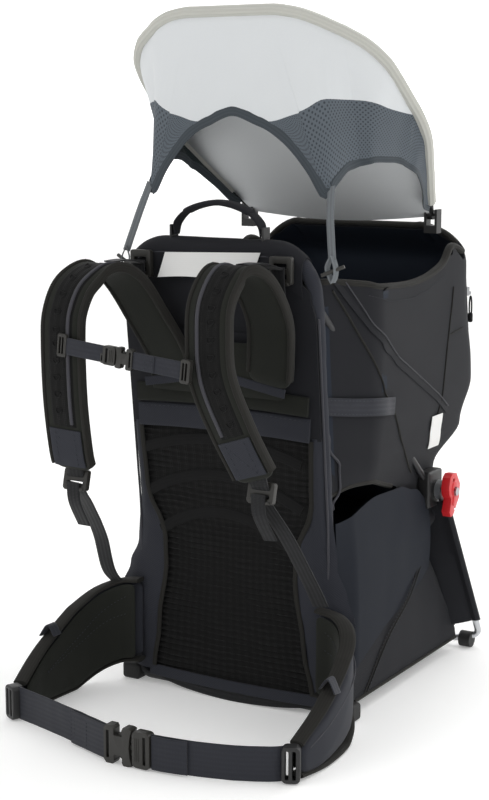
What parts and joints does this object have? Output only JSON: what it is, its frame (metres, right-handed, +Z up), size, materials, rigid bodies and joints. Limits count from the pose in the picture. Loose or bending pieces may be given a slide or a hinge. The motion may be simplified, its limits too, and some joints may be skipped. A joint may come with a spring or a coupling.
{
  "type": "baby carrier backpack",
  "caption": "Framed child carrier backpack on a folding rear kickstand, with padded shoulder harness, hip belt, child cockpit with seat and a hooped sunshade.",
  "frame": {"origin": "on the floor, below the middle of the whole carrier's bounding box", "axes": "+Z up; +X towards the wearer's left; +Y from the wearer's side towards the child's side"},
  "size_m": [0.485, 0.738, 0.9365],
  "materials": {
    "frame_tube": "brushed",
    "steel": "brushed",
    "dark_plastic": "moulded",
    "foot_rubber": "moulded",
    "latch_red": "moulded",
    "pack_cloth": "woven nylon",
    "back_mesh": "spacer mesh",
    "soft_lining": "brushed knit",
    "webbing": "woven webbing",
    "shade_cloth": "woven polyester",
    "shade_webbing": "woven webbing",
    "tag_white": "satin label"
  },
  "bodies": {
    "frame": {"main_frame_tube": "frame_tube", "lower_cross_tube": "frame_tube", "upper_cross_tube": "frame_tube", "upper_struts": "frame_tube", "lower_struts": "frame_tube", "pivot_block_left": "dark_plastic", "pivot_block_right": "dark_plastic", "pivot_pins": "steel", "front_foot_left": "foot_rubber", "front_foot_right": "foot_rubber", "hem_clamps": "dark_plastic", "mesh_back_panel": "back_mesh", "upper_back_panel": "pack_cloth", "top_flap": "pack_cloth", "handle_tabs": "pack_cloth", "care_tag": "tag_white", "drool_pad": "soft_lining", "cockpit_shell": "pack_cloth", "storage_compartment": "pack_cloth", "side_bands": "webbing", "zipper_track": "webbing", "shade_sockets": "dark_plastic", "shade_toggles": "dark_plastic", "hip_wing_left": "pack_cloth", "hip_wing_right": "pack_cloth", "belt_sliders": "dark_plastic", "belt_webbing_left": "webbing", "belt_webbing_right": "webbing", "belt_socket": "dark_plastic", "load_lifter_straps": "webbing", "lower_straps": "webbing", "latch_springs": "steel"},
    "kickstand": {"kickstand_tube": "frame_tube", "rear_foot_left": "foot_rubber", "rear_foot_right": "foot_rubber"},
    "latch_left": {"release_latch_left": "latch_red"},
    "latch_right": {"release_latch_right": "latch_red"},
    "sunshade": {"shade_hoop": "steel", "shade_canopy": "shade_cloth", "shade_cords": "shade_webbing"},
    "harness": {"yoke_plate": "dark_plastic", "shoulder_pad_left": "pack_cloth", "shoulder_pad_right": "pack_cloth"},
    "sternum_strap": {"sternum_webbing_left": "webbing", "sternum_webbing_right": "webbing", "sternum_sliders": "dark_plastic", "sternum_socket": "dark_plastic"},
    "sternum_buckle_plug": {"sternum_plug": "dark_plastic"},
    "belt_buckle_plug": {"belt_plug": "dark_plastic"},
    "carry_handle": {"grab_handle": "pack_cloth"},
    "strap_adjuster_left": {"lower_adjuster_left": "dark_plastic"},
    "strap_adjuster_right": {"lower_adjuster_right": "dark_plastic"},
    "lifter_buckle_left": {"load_lifter_buckle_left": "dark_plastic"},
    "lifter_buckle_right": {"load_lifter_buckle_right": "dark_plastic"},
    "zip_slider": {"zipper_slider": "dark_plastic"},
    "zip_pull": {"zipper_pull": "webbing"},
    "child_seat": {"seat_pad": "soft_lining", "seat_back_pad": "soft_lining", "child_harness_straps": "webbing", "child_buckle": "dark_plastic"}
  },
  "joints": [
    {"name": "kickstand_fold", "type": "hinge", "parent": "frame", "child": "kickstand", "pos_m": [0, 0.201, 0.262], "axis": [-1, 0, 0], "range_deg": [0, 75], "deforming": ["storage_compartment"]},
    {"name": "latch_left_press", "type": "hinge", "parent": "frame", "child": "latch_left", "pos_m": [0.19, 0.201, 0.262], "axis": [-1, 0, 0], "range_deg": [0, 20], "stiffness_Nm_per_rad": 0.2},
    {"name": "latch_right_press", "type": "hinge", "parent": "frame", "child": "latch_right", "pos_m": [-0.19, 0.201, 0.262], "axis": [-1, 0, 0], "range_deg": [0, 20], "stiffness_Nm_per_rad": 0.2},
    {"name": "sunshade_fold", "type": "hinge", "parent": "frame", "child": "sunshade", "pos_m": [0, 0.206, 0.66], "axis": [-1, 0, 0], "range_deg": [0, 115]},
    {"name": "harness_height", "type": "slide", "parent": "frame", "child": "harness", "axis": [0, -0.1044, 0.9945], "range_m": [-0.09, 0.03], "deforming": ["lower_straps", "load_lifter_straps"]},
    {"name": "sternum_strap_height", "type": "slide", "parent": "harness", "child": "sternum_strap", "axis": [0, 0, 1], "range_m": [-0.03, 0.03]},
    {"name": "sternum_buckle_open", "type": "slide", "parent": "sternum_strap", "child": "sternum_buckle_plug", "axis": [-0.9947, 0, 0.1028], "range_m": [0, 0.025], "deforming": ["sternum_webbing_right"]},
    {"name": "belt_buckle_open", "type": "slide", "parent": "frame", "child": "belt_buckle_plug", "axis": [1, 0, 0], "range_m": [0, 0.04], "deforming": ["belt_webbing_left"]},
    {"name": "handle_swing", "type": "hinge", "parent": "frame", "child": "carry_handle", "pos_m": [0, -0.127, 0.65], "axis": [-1, 0, 0], "range_deg": [-20, 75], "stiffness_Nm_per_rad": 0.1},
    {"name": "adjuster_left_tilt", "type": "hinge", "parent": "harness", "child": "strap_adjuster_left", "pos_m": [0.118, -0.2145, 0.344], "axis": [-1, 0, 0], "range_deg": [0, 30], "stiffness_Nm_per_rad": 0.05, "deforming": ["lower_straps"]},
    {"name": "adjuster_right_tilt", "type": "hinge", "parent": "harness", "child": "strap_adjuster_right", "pos_m": [-0.157, -0.2325, 0.332], "axis": [-1, 0, 0], "range_deg": [0, 30], "stiffness_Nm_per_rad": 0.05, "deforming": ["lower_straps"]},
    {"name": "lifter_left_tilt", "type": "hinge", "parent": "frame", "child": "lifter_buckle_left", "pos_m": [0.107, -0.15, 0.62], "axis": [-1, 0, 0], "range_deg": [0, 30], "stiffness_Nm_per_rad": 0.05, "deforming": ["load_lifter_straps"]},
    {"name": "lifter_right_tilt", "type": "hinge", "parent": "frame", "child": "lifter_buckle_right", "pos_m": [-0.107, -0.15, 0.62], "axis": [-1, 0, 0], "range_deg": [0, 30], "stiffness_Nm_per_rad": 0.05, "deforming": ["load_lifter_straps"]},
    {"name": "zip_travel", "type": "slide", "parent": "frame", "child": "zip_slider", "axis": [0.0331, -0.232, 0.9722], "range_m": [-0.11, 0.025]},
    {"name": "zip_pull_swing", "type": "hinge", "parent": "zip_slider", "child": "zip_pull", "pos_m": [0.15841, 0.33403, 0.534], "axis": [0.7431, -0.6691, 0], "range_deg": [0, 60]},
    {"name": "seat_height", "type": "slide", "parent": "frame", "child": "child_seat", "axis": [0, 0, 1], "range_m": [0, 0.06]}
  ]
}
